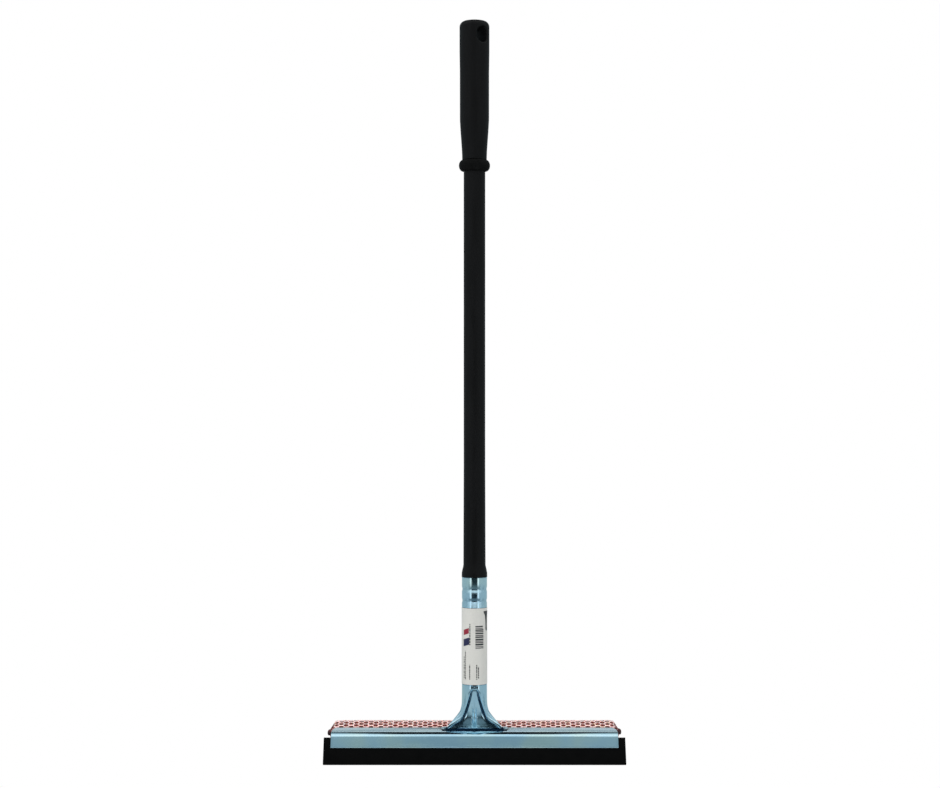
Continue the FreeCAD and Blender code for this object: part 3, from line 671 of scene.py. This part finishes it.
# What the bright plating mirrors, as (place, brightness). Places run from 0 in front to 1 behind: round the
# room at eye level, over its top through the middle (TOP_LIGHT) and to the sides (ROOF_LIGHT), and below.
LEVEL_LIGHT = (
    (0.0, 0.02), (0.15, 0.02), (0.165, 1.0), (0.215, 1.0), (0.25, 0.44), (0.75, 0.44), (1.0, 0.6),
)
TOP_LIGHT = (
    (0.02, 0.3), (0.035, 0.95), (0.13, 0.95), (0.16, 0.3), (0.33, 0.33), (0.36, 0.86), (0.53, 0.86),
    (0.545, 0.01), (0.905, 0.01), (0.915, 0.95), (0.935, 0.4), (0.95, 0.3), (1.0, 0.3),
)
ROOF_LIGHT = (
    (0.02, 0.33), (0.035, 0.95), (0.11, 0.95), (0.14, 0.34), (0.33, 0.36), (0.36, 1.0), (0.53, 1.0),
    (0.62, 0.4), (1.0, 0.27),
)
GAP_EDGES = ((0.2, 1.0), (0.27, 0.0))        # how far to each side the dark gap in TOP_LIGHT reaches
LOW_LIGHT = (
    (0.0, 0.2), (0.15, 0.16), (0.2, 0.45), (0.3, 0.5), (0.42, 0.2), (0.58, 0.03), (0.9, 0.03), (1.0, 0.2),
)
TOP_EDGES = ((0.1, 0.0), (0.15, 1.0))        # how steeply up the top lights take over
LOW_EDGES = ((0.27, 0.0), (0.34, 1.0))       # and how steeply down the low ones do
DARK_TINT = (1.18, 1.0, 0.94)                # powers of red, green and blue that tint the dark parts
ROOM_STRENGTH = 1.12


def sky():
    """White to the camera. The plating mirrors broad lights with dark gaps between them."""
    world = bpy.data.worlds.new("studio")
    bpy.context.scene.world = world
    world.use_nodes = True
    nodes, links = world.node_tree.nodes, world.node_tree.links
    nodes.clear()

    def math_node(operation, *values):
        node = nodes.new("ShaderNodeMath")
        node.operation = operation
        for socket, value in zip(node.inputs, values):
            if hasattr(value, "is_output"):
                links.new(value, socket)
            else:
                socket.default_value = value
        return node.outputs["Value"]

    def ramp(factor, stops, tinted=True):
        """Brightness along a factor. The dark parts of the room are bluer than the lights."""
        node = nodes.new("ShaderNodeValToRGB")
        while len(node.color_ramp.elements) < len(stops):
            node.color_ramp.elements.new(0.5)
        for element, (at, level) in zip(node.color_ramp.elements, stops):
            element.position = at
            tint = [level ** power for power in DARK_TINT] if tinted else [level] * 3
            element.color = (*tint, 1)
        links.new(factor, node.inputs["Fac"])
        return node.outputs["Color"]

    def blend(factor, low, high):
        node = nodes.new("ShaderNodeMixRGB")
        links.new(factor, node.inputs["Fac"])
        links.new(low, node.inputs["Color1"])
        links.new(high, node.inputs["Color2"])
        return node.outputs["Color"]

    where = nodes.new("ShaderNodeTexCoord")
    split = nodes.new("ShaderNodeSeparateXYZ")
    links.new(where.outputs["Generated"], split.inputs["Vector"])
    x, y, z = (split.outputs[k] for k in "XYZ")
    front = math_node("MULTIPLY", y, -1.0)
    below = math_node("MULTIPLY", z, -1.0)
    around = math_node("DIVIDE", math_node("ABSOLUTE", math_node("ARCTAN2", x, front)), math.pi)
    over = math_node("DIVIDE", math_node("ARCTAN2", z, front), math.pi)
    under = math_node("DIVIDE", math_node("ARCTAN2", below, front), math.pi)
    is_top = ramp(z, TOP_EDGES, tinted=False)
    is_low = ramp(below, LOW_EDGES, tinted=False)
    is_gap = ramp(math_node("ABSOLUTE", x), GAP_EDGES, tinted=False)
    overhead = blend(is_gap, ramp(over, ROOF_LIGHT), ramp(over, TOP_LIGHT))
    lit = blend(is_low, blend(is_top, ramp(around, LEVEL_LIGHT), overhead), ramp(under, LOW_LIGHT))
    lights = nodes.new("ShaderNodeBackground")
    links.new(lit, lights.inputs["Color"])
    lights.inputs["Strength"].default_value = ROOM_STRENGTH
    seen = nodes.new("ShaderNodeBackground")
    seen.inputs["Color"].default_value = (1, 1, 1, 1)
    seen.inputs["Strength"].default_value = 1.0
    path = nodes.new("ShaderNodeLightPath")
    choose = nodes.new("ShaderNodeMixShader")
    links.new(path.outputs["Is Camera Ray"], choose.inputs["Fac"])
    links.new(lights.outputs["Background"], choose.inputs[1])
    links.new(seen.outputs["Background"], choose.inputs[2])
    out = nodes.new("ShaderNodeOutputWorld")
    links.new(choose.outputs["Shader"], out.inputs["Surface"])


def softbox(name, place, size, power, target):
    """A square area lamp of a size in metres and a power in watts, which isn't seen in mirrors."""
    data = bpy.data.lights.new(name, "AREA")
    data.shape = "RECTANGLE"
    data.size = data.size_y = size
    data.energy = power
    lamp = bpy.data.objects.new(name, data)
    bpy.context.scene.collection.objects.link(lamp)
    lamp.visible_glossy = False
    lamp.location = place
    lamp.rotation_euler = (Vector(target) - Vector(place)).to_track_quat("-Z", "Y").to_euler()


FLOOR_LEVEL = -0.30
FLOOR_HALF = 1.2


def make_floor():
    """A plain pale plane below the tool."""
    mesh = bpy.data.meshes.new("floor")
    sides = ((-1, -1), (1, -1), (1, 1), (-1, 1))
    corners = [(x * FLOOR_HALF, y * FLOOR_HALF, FLOOR_LEVEL) for x, y in sides]
    mesh.from_pydata(corners, [], [(0, 1, 2, 3)])
    floor = new_object("floor", mesh)
    floor.visible_glossy = False
    glow = Shader("floor", (0.86, 0.86, 0.86), 0.7, Emission_Color=(1, 1, 1, 1), Emission_Strength=0.6)
    floor.data.materials.append(glow.material)


def plain_colours():
    """Shows colours as they are, so that white stays white."""
    settings = bpy.context.scene.view_settings
    settings.view_transform = "Standard"
    settings.look = "None"


CAMERA_SIDE = -3.8 * MM
CAMERA_DISTANCE = 1.6
CAMERA_HEIGHT = 310.2 * MM
SENSOR_MM = 36
LENS_MM = 72.1


def make_camera():
    """In front of the handle and level with the middle of the tool."""
    data = bpy.data.cameras.new("camera")
    data.sensor_width = SENSOR_MM
    data.lens = LENS_MM
    data.clip_end = 20
    camera = bpy.data.objects.new("camera", data)
    bpy.context.scene.collection.objects.link(camera)
    camera.location = (CAMERA_SIDE, HANDLE_Y - CAMERA_DISTANCE, CAMERA_HEIGHT)
    camera.rotation_euler = (math.radians(90), 0, 0)
    bpy.context.scene.camera = camera


sky()
make_floor()
make_camera()
plain_colours()
softbox("key_light", (-1.2, -1.4, 1.6), 1.2, 15, (0, 0, 0.3))
softbox("top_light", (0.2, 0.5, 1.7), 1.4, 19, (0, 0, 0.05))
dress_cad_nodes()
make_sponge()
make_net()
make_tufts()
make_label_print()
